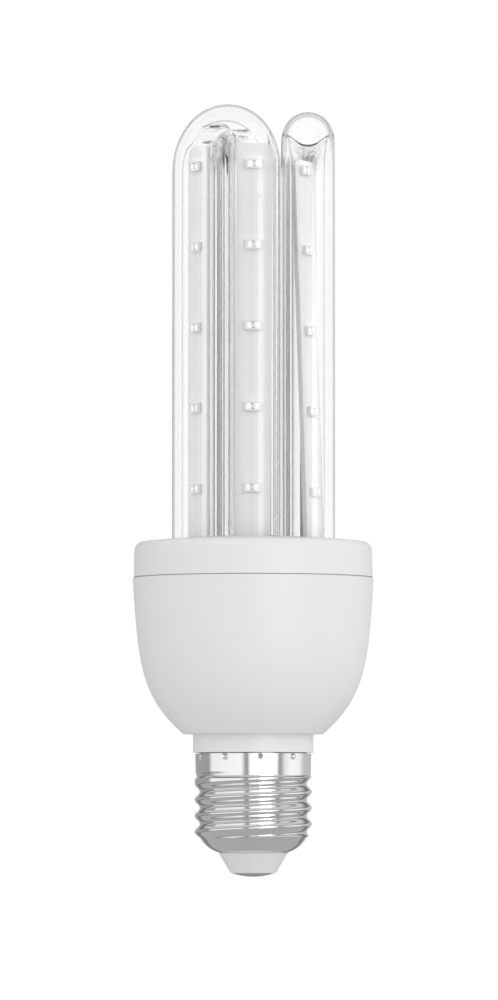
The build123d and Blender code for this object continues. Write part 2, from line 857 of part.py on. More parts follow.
# Shell lead: down the neck and out to the inside of the shell below the housing's guide
lead_angle = math.radians(shell_lead_angle)
neck_run_r = neck_bore_radius - wire_radius - 2 * fit_gap
shell_touch_r = thread_root_radius - shell_wall - wire_radius - solder_gap
shell_lead_spread_z = guide_bottom_z - shell_lead_spread_drop
shell_lead_stations = [
    (neck_run_r + shell_lead_board_reach, driver_board_z),
    (neck_run_r + shell_lead_board_reach, driver_board_z - shell_lead_board_drop),
    (neck_run_r, driver_board_z - shell_lead_neck_drop),
    (neck_run_r, guide_bottom_z),
    (shell_touch_r, shell_lead_spread_z),
    (shell_touch_r, shell_lead_spread_z - shell_lead_touch_length),
]
shell_lead_points = [
    (radius * math.cos(lead_angle), radius * math.sin(lead_angle), height)
    for radius, height in shell_lead_stations
]
shell_lead = wire_along(shell_lead_points, shell_lead_bends)
shell_lead.part.label = "shell_lead"
export_step(shell_lead.part, "parts/shell_lead.step")

# Contact lead: from the board to the axis and straight down to the rivet
contact_lead_points = [
    (-contact_lead_reach, 0, driver_board_z),
    (-contact_lead_reach, 0, driver_board_z - contact_lead_board_drop),
    (0, 0, rivet_top_z + contact_lead_rivet_rise),
    (0, 0, rivet_top_z + solder_gap),
]
contact_lead = wire_along(contact_lead_points, contact_lead_bend)
contact_lead.part.label = "contact_lead"
export_step(contact_lead.part, "parts/contact_lead.step")

# Output leads: two short wires from the driver up to the strip board
near_x, near_y = output_lead_near
far_x, far_y = output_lead_far
board_space = strip_board_z - driver_top_z
output_lead_straight = board_space * output_lead_straight_share
for name, side in (("output_lead_positive", 1), ("output_lead_negative", -1)):
    output_points = [
        (side * near_x, near_y, driver_top_z),
        (side * near_x, near_y, driver_top_z + output_lead_straight),
        (side * far_x, far_y, strip_board_z - output_lead_straight),
        (side * far_x, far_y, strip_board_z),
    ]
    output_lead = wire_along(output_points, output_lead_bend)
    output_lead.part.label = name
    export_step(output_lead.part, f"parts/{name}.step")
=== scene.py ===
import json
import math

import bpy
from bpy.props import FloatProperty, FloatVectorProperty, IntProperty, PointerProperty
from bpy.types import Operator, Panel, PropertyGroup
from mathutils import Matrix, Vector


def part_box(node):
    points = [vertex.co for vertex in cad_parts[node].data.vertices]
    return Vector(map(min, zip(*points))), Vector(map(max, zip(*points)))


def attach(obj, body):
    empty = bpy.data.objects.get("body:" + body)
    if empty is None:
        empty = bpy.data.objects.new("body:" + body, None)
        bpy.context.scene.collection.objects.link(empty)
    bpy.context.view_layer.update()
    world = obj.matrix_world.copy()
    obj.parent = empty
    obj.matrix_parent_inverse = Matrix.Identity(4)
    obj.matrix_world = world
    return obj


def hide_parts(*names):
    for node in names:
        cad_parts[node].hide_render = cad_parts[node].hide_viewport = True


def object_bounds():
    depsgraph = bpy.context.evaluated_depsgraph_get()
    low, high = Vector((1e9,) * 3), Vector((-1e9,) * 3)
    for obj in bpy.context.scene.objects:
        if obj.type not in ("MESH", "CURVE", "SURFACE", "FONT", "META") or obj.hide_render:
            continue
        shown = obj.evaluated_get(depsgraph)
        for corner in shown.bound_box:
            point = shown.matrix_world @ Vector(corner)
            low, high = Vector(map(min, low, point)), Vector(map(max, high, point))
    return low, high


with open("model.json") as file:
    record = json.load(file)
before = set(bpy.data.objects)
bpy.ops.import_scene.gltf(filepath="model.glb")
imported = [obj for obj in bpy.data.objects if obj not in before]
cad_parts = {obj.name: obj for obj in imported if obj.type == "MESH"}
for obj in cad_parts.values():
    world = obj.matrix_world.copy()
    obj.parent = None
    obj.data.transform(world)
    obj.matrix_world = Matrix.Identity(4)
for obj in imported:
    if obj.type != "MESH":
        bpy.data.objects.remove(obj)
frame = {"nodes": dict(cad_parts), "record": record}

bl_info = {
    "name": "LED insect killer lamp",
    "version": (1, 0, 0),
    "blender": (4, 5, 0),
    "location": "View3D > Sidebar > Lamp",
    "description": "Finishes and picture set of a screw-cap lamp with LED strips in glass U-tubes",
    "category": "Object",
}

MM = 0.001
NODES = frame["nodes"]
CAD_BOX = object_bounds()
TUBE_NODES = ("glass_tube_left", "glass_tube_right", "glass_tube_rear")
STRIP_COUNT = 6
FRONT_STRIP = 2
# Finishes of the parts inside the housing
INNER_SLOTS = (
    "green_board", "sleeve_dark", "resin_red", "ferrite", "copper_wire", "moulded_black",
    "resistor_coat", "wire_white", "wire_black", "wire_red",
)

# Vertices that lie closer than this are merged
MERGE_DISTANCE = 1e-6
# Edges below these angles in degrees are smoothed
SHELL_SMOOTH = 30
TUBE_SMOOTH = 40
BLOCK_SMOOTH = 35
# What half the right tube's width holds over the glass radius
TUBE_TRIM = 0.065 * MM
# A tube's lowest vertices lie within this height, and a leg's within this many radii of its edge
FOOT_HEIGHT = 0.1 * MM
LEG_REACH = 2.05
# Turn in degrees of one step along a bend, and the fewest steps of an arc
ARC_STEP = 4
LEAST_ARC_STEPS = 6
# Where a bend is pressed: the share of its half width that is pressed fully, the heights from its
# foot where the press grows, and the heights from its centre line, in radii, where it ends
PRESS_CORE = 0.3
PRESS_FOOT = (-2 * MM, 1.5 * MM)
PRESS_TOP = (0.2, -0.8)

# LED packages of one strip are parted by more than this height
LED_SPLIT = 5 * MM
# A face looks out where its normal's share along the radius is larger than this
OUTWARD = 0.7
# Plated pads in an LED's window
LEAD_RECESS = 0.2 * MM
LEAD_MARGIN = 0.75 * MM
LEAD_THICKNESS = 0.3 * MM
LEAD_BEVEL = 0.08 * MM
# Solder at an LED's ends; its height and its drop are shares of half the package's height
SOLDER_MARGIN = 0.3 * MM
SOLDER_RISE = 0.8
SOLDER_SINK = 0.6
SOLDER_BEVEL = 0.06 * MM
# Dies: distance beside the window's middle, and share of the package's length above it
DIE_THICKNESS = 0.2 * MM
DIE_PLACES = ((-0.12 * MM, 0.3), (0.1 * MM, -0.28))

# Painted shade on glass, by how edge-on it is seen: clear up to the first place, at the edge's
# level from the second to the third, and at the last level where it is quite edge-on
EDGE_SHADE_PLACES = (0.54, 0.62, 0.85)
EDGE_SHADE_LAST_LEVEL = 0.8
# Waves of drawn glass are long along the tube
WAVE_STRETCH = (1, 1, 0.04)
# Share of the fine grain's scale that the broad mottling has
BROAD_SHARE = 0.03

# How the even light changes to the right, away from the camera and upwards
LIGHT_SLOPE = (0.09, -0.06, -0.18)
# The same for the light that reaches the strips through the glass
INSIDE_SLOPE = (0.08, 0.34, -0.06)
# Level of the reflected studio at the horizon, by the turn in degrees from the front
HORIZON_BANDS = (
    (-180, 0.6), (-158, 0.36), (-100, 0.34), (-90, 0.9), (-24, 1.0), (-15, 0.34), (-11, 0.34),
    (-7, 1.0), (6, 1.3), (12, 1.3), (16, 4.2), (36, 4.2), (43, 1.2), (49, 1.0), (53, 0.36),
    (57, 0.36), (66, 0.8), (80, 1.0), (104, 0.95), (122, 0.55), (160, 0.5), (180, 0.6),
)
# Level of the reflected studio below and above the horizon, by half the height plus a half
SKY_BANDS = (
    (0.0, 0.4), (0.27, 0.42), (0.31, 0.2), (0.36, 0.2), (0.41, 0.42), (0.62, 0.5), (0.66, 0.18),
    (0.71, 0.18), (0.78, 0.6), (1.0, 0.5),
)
# Share of the horizon's bands in the reflected studio, by half the height plus a half
HORIZON_SHARE = ((0.0, 0.0), (0.34, 0.0), (0.44, 1.0), (0.57, 1.0), (0.66, 0.0))
# Diffuse Depth below the first is seen directly, and above the second is light that strips throw
# at each other
DIRECT_DEPTH = 0.5
DEEP_DEPTH = 1.5

# Floor, lamps and camera in metres, and the sensor in millimetres
FLOOR_RADIUS = 3.0
FLOOR_SIDES = 96
FLOOR_GREY = (0.8, 0.8, 0.8, 1)
FLOOR_GLOW = 0.32
KEY_PLACE = (0.9, -1.0, 0.7)
KEY_SIZE = (1.2, 1.2)
FILL_PLACE = (-1.1, -0.8, 0.4)
FILL_SIZE = (1.0, 1.2)
SENSOR_HEIGHT = 24.0
FAR_CLIP = 50
# Light passes up to four glass walls of two sides each, and comes back through them
GLASS_BOUNCES = 32
GLOSSY_BOUNCES = 12


def corners(node):
    """The lowest and highest corners of a CAD node."""
    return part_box(node)


class LampFinishes(PropertyGroup):
    """Colours and finishes of the lamp's own surfaces."""

    housing_colour: FloatVectorProperty(
        name="Housing", description="Colour of the moulded housing and cover",
        subtype="COLOR", size=3, min=0, max=1, default=(0.79, 0.79, 0.79),
    )
    # Painted shade: the dark ring stands for the shade in the groove where cover and housing meet
    seam_shade_colour: FloatVectorProperty(
        name="Seam", description="Colour of the dark line where the cover meets the housing",
        subtype="COLOR", size=3, min=0, max=1, default=(0.25, 0.25, 0.25),
    )
    insulator_colour: FloatVectorProperty(
        name="Insulator", description="Colour of the cone at the cap's tip",
        subtype="COLOR", size=3, min=0, max=1, default=(0.75, 0.75, 0.75),
    )
    cap_colour: FloatVectorProperty(
        name="Cap metal", description="Colour of the rolled screw shell",
        subtype="COLOR", size=3, min=0, max=1, default=(0.93, 0.93, 0.93),
    )
    contact_colour: FloatVectorProperty(
        name="Contact metal", description="Colour of the tinned centre contact",
        subtype="COLOR", size=3, min=0, max=1, default=(0.74, 0.74, 0.74),
    )
    board_colour: FloatVectorProperty(
        name="Strip board", description="Colour of the white solder mask on the strips",
        subtype="COLOR", size=3, min=0, max=1, default=(0.82, 0.82, 0.82),
    )
    package_colour: FloatVectorProperty(
        name="LED package", description="Colour of the moulded LED bodies",
        subtype="COLOR", size=3, min=0, max=1, default=(0.78, 0.78, 0.78),
    )
    # Painted shade: the outer glass's colour is darkened to this level where it is seen edge-on
    glass_edge_shade: FloatProperty(
        name="Glass edge", description="How light the glass stays where it is seen edge-on",
        subtype="FACTOR", min=0, max=1, default=0.5,
    )
    # Painted shade: grey painted into the creases of the wrinkled glass inside a bend, down to
    # this level
    glass_pinch_shade: FloatProperty(
        name="Glass pinch", description="How light the wrinkled glass stays inside a bend",
        subtype="FACTOR", min=0, max=1, default=0.42,
    )
    lead_colour: FloatVectorProperty(
        name="Lead frame", description="Colour of the plated pads that show in an LED's window",
        subtype="COLOR", size=3, min=0, max=1, default=(0.99, 0.99, 0.99),
    )
    solder_colour: FloatVectorProperty(
        name="Solder", description="Colour of the solder at an LED's ends",
        subtype="COLOR", size=3, min=0, max=1, default=(0.62, 0.62, 0.62),
    )
    die_colour: FloatVectorProperty(
        name="LED die", description="Colour of the small dies in an LED's window",
        subtype="COLOR", size=3, min=0, max=1, default=(0.34, 0.34, 0.34),
    )


class LampSizes(PropertyGroup):
    """Sizes of the pieces that are modelled here."""

    # Sizes of the ring of painted shade in the seam
    seam_radius: FloatProperty(
        name="Seam radius", description="Radius of the line in the housing's seam",
        unit="LENGTH", subtype="DISTANCE", default=26.85 * MM,
    )
    seam_wire: FloatProperty(
        name="Seam wire", description="Half the thickness of the line in the seam",
        unit="LENGTH", subtype="DISTANCE", default=0.2 * MM,
    )
    glass_wall: FloatProperty(
        name="Glass wall", description="Wall of the glass tubes",
        unit="LENGTH", subtype="DISTANCE", default=0.9 * MM,
    )
    # Painted shade on glass seen edge-on grows from the first distance from the axis to the second
    edge_start: FloatProperty(
        name="Edge start", description="Distance from the axis where glass edges start to darken",
        unit="LENGTH", subtype="DISTANCE", default=14.5 * MM,
    )
    edge_end: FloatProperty(
        name="Edge end", description="Distance from the axis where glass edges are darkest",
        unit="LENGTH", subtype="DISTANCE", default=19.0 * MM,
    )
    bend_height: FloatProperty(
        name="Bend height", description="Rise of a bend's centre line over its legs",
        unit="LENGTH", subtype="DISTANCE", default=8.3 * MM,
    )
    crown_radius: FloatProperty(
        name="Crown radius", description="Radius of the bend's centre line at its top",
        unit="LENGTH", subtype="DISTANCE", default=6.3 * MM,
    )
    pinch_reach: FloatProperty(
        name="Pinch reach", description="How far the wrinkles reach from the inside of a bend",
        unit="LENGTH", subtype="DISTANCE", default=5.5 * MM,
    )
    lead_width: FloatProperty(
        name="Lead width", description="Width of one plated pad in an LED's window",
        unit="LENGTH", subtype="DISTANCE", default=0.95 * MM,
    )
    lead_gap: FloatProperty(
        name="Lead gap", description="Gap between the two plated pads",
        unit="LENGTH", subtype="DISTANCE", default=0.85 * MM,
    )
    die_side: FloatProperty(
        name="Die side", description="Side of the small dies in an LED's window",
        unit="LENGTH", subtype="DISTANCE", default=0.4 * MM,
    )
    solder_width: FloatProperty(
        name="Solder width", description="Width of the solder at each end of an LED",
        unit="LENGTH", subtype="DISTANCE", default=0.28 * MM,
    )
    crown_press: FloatProperty(
        name="Crown press", description="How far the inside of a bend is pressed up into the tube",
        unit="LENGTH", subtype="DISTANCE", default=3.6 * MM,
    )
    pad_place: FloatVectorProperty(
        name="Pad place", description="Test pad's distances beside and below the top LED",
        subtype="TRANSLATION", unit="LENGTH", size=2, default=(1.3 * MM, 7.3 * MM),
    )
    pad_radius: FloatProperty(
        name="Pad radius", description="Radius of the test pad's ring", unit="LENGTH",
        subtype="DISTANCE", default=0.42 * MM,
    )
    pad_wire: FloatProperty(
        name="Pad wire", description="Half the thickness of the test pad's ring", unit="LENGTH",
        subtype="DISTANCE", default=0.11 * MM,
    )
    tube_sides: IntProperty(
        name="Tube sides", description="Faces around a glass tube", min=16, default=64,
    )


class LampPicture(PropertyGroup):
    """Camera and light of the picture."""

    camera_distance: FloatProperty(
        name="Camera distance", description="Distance from the camera to the lamp's axis",
        unit="LENGTH", subtype="DISTANCE", default=1.6,
    )
    camera_rise: FloatProperty(
        name="Camera rise", description="Angle by which the camera looks down on the lamp",
        unit="ROTATION", subtype="ANGLE", default=math.radians(-2.7),
    )
    picture_height: FloatProperty(
        name="Picture height", description="Height that the picture covers at the lamp",
        unit="LENGTH", subtype="DISTANCE", default=226.2 * MM,
    )
    picture_centre: FloatVectorProperty(
        name="Picture centre",
        description="Point of the lamp's axis plane at the picture's centre",
        subtype="TRANSLATION", unit="LENGTH", size=3, default=(-0.95 * MM, 0, 85.1 * MM),
    )
    floor_drop: FloatProperty(
        name="Floor drop", description="Distance from the contact's tip down to the floor",
        unit="LENGTH", subtype="DISTANCE", default=40 * MM,
    )
    world_strength: FloatProperty(
        name="World strength", description="Strength of the even light from all round",
        min=0, default=1.0,
    )
    inside_gain: FloatProperty(
        name="Inside gain", description="Extra even light for what stands inside the glass",
        min=0, default=1.22,
    )
    deep_gain: FloatProperty(
        name="Deep gain", description="Extra light that strips throw at each other in the glass",
        min=0, default=1.3,
    )
    key_power: FloatProperty(
        name="Key power", description="Power of the large soft lamp on the right", unit="POWER",
        min=0, default=4.0,
    )
    fill_power: FloatProperty(
        name="Fill power", description="Power of the soft lamp on the left", unit="POWER",
        min=0, default=1.2,
    )


def new_group(name, inputs, outputs):
    """A shader node group with named inputs and outputs, and its two end nodes."""
    group = bpy.data.node_groups.new(name, "ShaderNodeTree")
    for label, kind, default in inputs:
        socket = group.interface.new_socket(label, in_out="INPUT", socket_type=kind)
        socket.default_value = default
    for label, kind in outputs:
        group.interface.new_socket(label, in_out="OUTPUT", socket_type=kind)
    return group, group.nodes.new("NodeGroupInput"), group.nodes.new("NodeGroupOutput")


def math_node(tree, operation, first, second):
    """A Math node whose inputs are sockets or numbers; returns its output."""
    node = tree.nodes.new("ShaderNodeMath")
    node.operation = operation
    for socket, value in zip(node.inputs, (first, second)):
        if isinstance(value, bpy.types.NodeSocket):
            tree.links.new(value, socket)
        else:
            socket.default_value = value
    return node.outputs[0]


def make_surface_grain():
    """Fine moulding or rolling grain: a mottled colour, an uneven gloss and a shallow relief."""
    white = (1, 1, 1, 1)
    group, start, end = new_group(
        "surface_grain",
        [
            ("Colour", "NodeSocketColor", white),
            ("Shade", "NodeSocketFloat", 0.03),
            ("Gloss", "NodeSocketFloat", 0.4),
            ("Gloss Spread", "NodeSocketFloat", 0.05),
            ("Grain Size", "NodeSocketFloat", 0.0004),
            ("Relief", "NodeSocketFloat", 0.1),
            ("Depth", "NodeSocketFloat", 0.00002),
        ],
        [
            ("Colour", "NodeSocketColor"),
            ("Roughness", "NodeSocketFloat"),
            ("Normal", "NodeSocketVector"),
        ],
    )
    nodes, links = group.nodes, group.links
    place = nodes.new("ShaderNodeTexCoord")
    fine_scale = math_node(group, "DIVIDE", 1.0, start.outputs["Grain Size"])
    broad_scale = math_node(group, "MULTIPLY", fine_scale, BROAD_SHARE)
    fine = nodes.new("ShaderNodeTexNoise")
    fine.inputs["Detail"].default_value = 3
    broad = nodes.new("ShaderNodeTexNoise")
    broad.inputs["Detail"].default_value = 2
    for noise, scale in ((fine, fine_scale), (broad, broad_scale)):
        links.new(place.outputs["Object"], noise.inputs["Vector"])
        links.new(scale, noise.inputs["Scale"])
    mixed = math_node(group, "ADD", fine.outputs["Fac"], broad.outputs["Fac"])
    centred = math_node(group, "SUBTRACT", mixed, 1.0)
    shade = math_node(group, "MULTIPLY", centred, start.outputs["Shade"])
    level = math_node(group, "ADD", shade, 1.0)
    tint = nodes.new("ShaderNodeVectorMath")
    tint.operation = "SCALE"
    links.new(start.outputs["Colour"], tint.inputs[0])
    links.new(level, tint.inputs["Scale"])
    links.new(tint.outputs["Vector"], end.inputs["Colour"])
    spread = math_node(group, "MULTIPLY", centred, start.outputs["Gloss Spread"])
    links.new(math_node(group, "ADD", spread, start.outputs["Gloss"]), end.inputs["Roughness"])
    bump = nodes.new("ShaderNodeBump")
    links.new(start.outputs["Relief"], bump.inputs["Strength"])
    links.new(start.outputs["Depth"], bump.inputs["Distance"])
    links.new(fine.outputs["Fac"], bump.inputs["Height"])
    links.new(bump.outputs["Normal"], end.inputs["Normal"])
    return group


def new_material(name):
    """An empty node material; returns it with its tree and its shader."""
    material = bpy.data.materials.new(name)
    material.use_nodes = True
    tree = material.node_tree
    return material, tree, tree.nodes["Principled BSDF"]


def grained(name, colour, shade, gloss, spread, size, relief, depth, **plain):
    """A material that takes its colour, roughness and relief from the surface grain."""
    material, tree, shader = new_material(name)
    grain = tree.nodes.new("ShaderNodeGroup")
    grain.node_tree = bpy.data.node_groups.get("surface_grain") or make_surface_grain()
    values = {
        "Colour": (*colour, 1), "Shade": shade, "Gloss": gloss, "Gloss Spread": spread,
        "Grain Size": size, "Relief": relief, "Depth": depth,
    }
    for label, value in values.items():
        grain.inputs[label].default_value = value
    tree.links.new(grain.outputs["Colour"], shader.inputs["Base Color"])
    tree.links.new(grain.outputs["Roughness"], shader.inputs["Roughness"])
    tree.links.new(grain.outputs["Normal"], shader.inputs["Normal"])
    for label, value in plain.items():
        shader.inputs[label.replace("_", " ")].default_value = value
    return material


def dress(node, material):
    """Gives a CAD node one material."""
    mesh = NODES[node].data
    mesh.materials.clear()
    mesh.materials.append(material)


def ramp_node(tree, value, stops):
    """A grey colour ramp over a value; the stops are pairs of a place and a level."""
    node = tree.nodes.new("ShaderNodeValToRGB")
    points = node.color_ramp.elements
    while len(points) < len(stops):
        points.new(1.0)
    for point, (place, level) in zip(points, stops):
        point.position = place
        point.color = (level, level, level, 1)
    tree.links.new(value, node.inputs["Fac"])
    return node.outputs["Color"]


def make_drawn_glass():
    """Slight waves along a drawn tube, and wrinkles inside its bend with painted grey shade in
    their creases; also where painted edge shade applies.
    """
    group, start, end = new_group(
        "drawn_glass",
        [
            ("Pinch", "NodeSocketVector", (0, 0, 0)),
            ("Reach", "NodeSocketFloat", 0.006),
            ("Pinch Shade Level", "NodeSocketFloat", 0.2),
            ("Wave Size", "NodeSocketFloat", 0.004),
            ("Wave Depth", "NodeSocketFloat", 0.00002),
            ("Wrinkle Size", "NodeSocketFloat", 0.0035),
            ("Wrinkle Depth", "NodeSocketFloat", 0.0002),
            ("Edge Start", "NodeSocketFloat", 0.012),
            ("Edge End", "NodeSocketFloat", 0.019),
            ("Bend Start", "NodeSocketFloat", 0.16),
            ("Bend End", "NodeSocketFloat", 0.163),
        ],
        [
            ("Level", "NodeSocketFloat"),
            ("Outside", "NodeSocketFloat"),
            ("Normal", "NodeSocketVector"),
        ],
    )
    nodes, links = group.nodes, group.links
    place = nodes.new("ShaderNodeTexCoord").outputs["Object"]
    flat = nodes.new("ShaderNodeVectorMath")
    flat.operation = "MULTIPLY"
    flat.inputs[1].default_value = (1, 1, 0)
    links.new(place, flat.inputs[0])
    axis_distance = nodes.new("ShaderNodeVectorMath")
    axis_distance.operation = "LENGTH"
    links.new(flat.outputs["Vector"], axis_distance.inputs[0])
    # Share where the painted edge shade applies: away from the lamp's axis, and over the bend
    outside = nodes.new("ShaderNodeMapRange")
    links.new(axis_distance.outputs["Value"], outside.inputs["Value"])
    links.new(start.outputs["Edge Start"], outside.inputs["From Min"])
    links.new(start.outputs["Edge End"], outside.inputs["From Max"])
    height = nodes.new("ShaderNodeSeparateXYZ")
    links.new(place, height.inputs["Vector"])
    above = nodes.new("ShaderNodeMapRange")
    links.new(height.outputs["Z"], above.inputs["Value"])
    links.new(start.outputs["Bend Start"], above.inputs["From Min"])
    links.new(start.outputs["Bend End"], above.inputs["From Max"])
    either = math_node(group, "MAXIMUM", outside.outputs["Result"], above.outputs["Result"])
    links.new(either, end.inputs["Outside"])
    away = nodes.new("ShaderNodeVectorMath")
    away.operation = "DISTANCE"
    links.new(place, away.inputs[0])
    links.new(start.outputs["Pinch"], away.inputs[1])
    share = math_node(group, "DIVIDE", away.outputs["Value"], start.outputs["Reach"])
    near = nodes.new("ShaderNodeMapRange")
    near.interpolation_type = "SMOOTHSTEP"
    links.new(share, near.inputs["Value"])
    for label, value in (("From Min", 0.35), ("From Max", 1.0), ("To Min", 1.0), ("To Max", 0.0)):
        near.inputs[label].default_value = value
    mask = near.outputs["Result"]
    stretched = nodes.new("ShaderNodeVectorMath")
    stretched.operation = "MULTIPLY"
    stretched.inputs[1].default_value = WAVE_STRETCH
    links.new(place, stretched.inputs[0])
    wave = nodes.new("ShaderNodeTexNoise")
    links.new(stretched.outputs["Vector"], wave.inputs["Vector"])
    links.new(math_node(group, "DIVIDE", 1.0, start.outputs["Wave Size"]), wave.inputs["Scale"])
    wrinkle = nodes.new("ShaderNodeTexNoise")
    wrinkle.inputs["Distortion"].default_value = 1.6
    wrinkle.inputs["Detail"].default_value = 3
    links.new(place, wrinkle.inputs["Vector"])
    links.new(
        math_node(group, "DIVIDE", 1.0, start.outputs["Wrinkle Size"]), wrinkle.inputs["Scale"]
    )
    wave_height = math_node(group, "MULTIPLY", wave.outputs["Fac"], start.outputs["Wave Depth"])
    wrinkle_height = math_node(
        group, "MULTIPLY", wrinkle.outputs["Fac"], start.outputs["Wrinkle Depth"]
    )
    masked = math_node(group, "MULTIPLY", wrinkle_height, mask)
    bump = nodes.new("ShaderNodeBump")
    bump.inputs["Distance"].default_value = 1.0
    links.new(math_node(group, "ADD", wave_height, masked), bump.inputs["Height"])
    links.new(bump.outputs["Normal"], end.inputs["Normal"])
    # Painted shade: the wrinkles' creases near the pinch are greyed down to the given level
    centred = math_node(group, "SUBTRACT", wrinkle.outputs["Fac"], 0.5)
    fold = math_node(group, "ABSOLUTE", centred, 0)
    crease = nodes.new("ShaderNodeMapRange")
    for label, value in (("From Min", 0.0), ("From Max", 0.12), ("To Min", 1.0), ("To Max", 0.15)):
        crease.inputs[label].default_value = value
    links.new(fold, crease.inputs["Value"])
    darkness = math_node(group, "MULTIPLY", mask, crease.outputs["Result"])
    depth = math_node(group, "SUBTRACT", 1.0, start.outputs["Pinch Shade Level"])
    loss = math_node(group, "MULTIPLY", darkness, depth)
    links.new(math_node(group, "SUBTRACT", 1.0, loss), end.inputs["Level"])
    return group


def glass_material(name, edge, pinch, sizes, pinch_shade_level):
    """Clear glass with painted shade: darker edge-on down to a level, and grey in its pinched
    bend's creases; with its waves.
    """
    material, tree, shader = new_material(name)
    drawn = tree.nodes.new("ShaderNodeGroup")
    drawn.node_tree = bpy.data.node_groups.get("drawn_glass") or make_drawn_glass()
    drawn.inputs["Pinch"].default_value = pinch
    drawn.inputs["Reach"].default_value = sizes.pinch_reach
    drawn.inputs["Pinch Shade Level"].default_value = pinch_shade_level
    drawn.inputs["Edge Start"].default_value = sizes.edge_start
    drawn.inputs["Edge End"].default_value = sizes.edge_end
    drawn.inputs["Bend Start"].default_value = pinch.z - sizes.pinch_reach
    drawn.inputs["Bend End"].default_value = pinch.z - sizes.pinch_reach * 0.4
    # Painted shade: the base colour darkens where the glass is seen edge-on, and the painted
    # crease shade scales it
    facing = tree.nodes.new("ShaderNodeLayerWeight")
    facing.inputs["Blend"].default_value = 0.5
    clear_end, dark_start, dark_end = EDGE_SHADE_PLACES
    rim = ramp_node(
        tree, facing.outputs["Facing"],
        ((0.0, 1.0), (clear_end, 1.0), (dark_start, edge), (dark_end, edge),
         (1.0, EDGE_SHADE_LAST_LEVEL)),
    )
    faded = tree.nodes.new("ShaderNodeMix")
    faded.data_type = "RGBA"
    faded.inputs["A"].default_value = (1, 1, 1, 1)
    tree.links.new(drawn.outputs["Outside"], faded.inputs["Factor"])
    tree.links.new(rim, faded.inputs["B"])
    tint = tree.nodes.new("ShaderNodeVectorMath")
    tint.operation = "SCALE"
    tree.links.new(faded.outputs["Result"], tint.inputs[0])
    tree.links.new(drawn.outputs["Level"], tint.inputs["Scale"])
    tree.links.new(tint.outputs["Vector"], shader.inputs["Base Color"])
    tree.links.new(drawn.outputs["Normal"], shader.inputs["Normal"])
    shader.inputs["Transmission Weight"].default_value = 1
    shader.inputs["Roughness"].default_value = 0.0
    shader.inputs["IOR"].default_value = 1.5
    return material


def deselect():
    """Leaves nothing selected, in object mode."""
    if bpy.context.object and bpy.context.object.mode != "OBJECT":
        bpy.ops.object.mode_set(mode="OBJECT")
    bpy.ops.object.select_all(action="DESELECT")


def settle(piece):
    """Moves a piece's place into its mesh and puts its origin at the world's."""
    deselect()
    piece.select_set(True)
    bpy.context.view_layer.objects.active = piece
    bpy.ops.object.transform_apply(location=True, rotation=True, scale=True)


def fade(value, start, end):
    """A smooth share that is nought at the start and one at the end."""
    share = min(1, max(0, (value - start) / (end - start)))
    return share * share * (3 - 2 * share)


def press_crown(tube, half, base, rise, radius, press):
    """Presses the inside of a bend up into the tube, as the mould of the bend does."""
    group = tube.vertex_groups.new(name="inside_bend")
    foot_start, foot_end = (base + height for height in PRESS_FOOT)
    top_start, top_end = (base + rise + radius * share for share in PRESS_TOP)
    for vertex in tube.data.vertices:
        x, _, z = vertex.co
        weight = fade(abs(x), half, half * PRESS_CORE)
        weight *= fade(z, foot_start, foot_end) * fade(z, top_start, top_end)
        if weight > 0:
            group.add([vertex.index], weight, "REPLACE")
    push = tube.modifiers.new("press", "DISPLACE")
    push.direction = "Z"
    push.strength = press
    push.mid_level = 0
    push.vertex_group = group.name
    bpy.ops.object.modifier_apply(modifier=push.name)


def smooth_copy(node, name, angle):
    """A copy of a CAD node with its seams merged and its soft edges smoothed; it replaces it."""
    deselect()
    copy = NODES[node].copy()
    copy.data = NODES[node].data.copy()
    copy.name = name
    bpy.context.scene.collection.objects.link(copy)
    copy.select_set(True)
    bpy.context.view_layer.objects.active = copy
    copy.data.materials.clear()
    bpy.ops.object.mode_set(mode="EDIT")
    bpy.ops.mesh.select_all(action="SELECT")
    bpy.ops.mesh.remove_doubles(threshold=MERGE_DISTANCE)
    bpy.ops.mesh.customdata_custom_splitnormals_clear()
    bpy.ops.object.mode_set(mode="OBJECT")
    bpy.ops.object.shade_smooth_by_angle(angle=math.radians(angle))
    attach(copy, "root")
    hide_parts(node)
    return copy


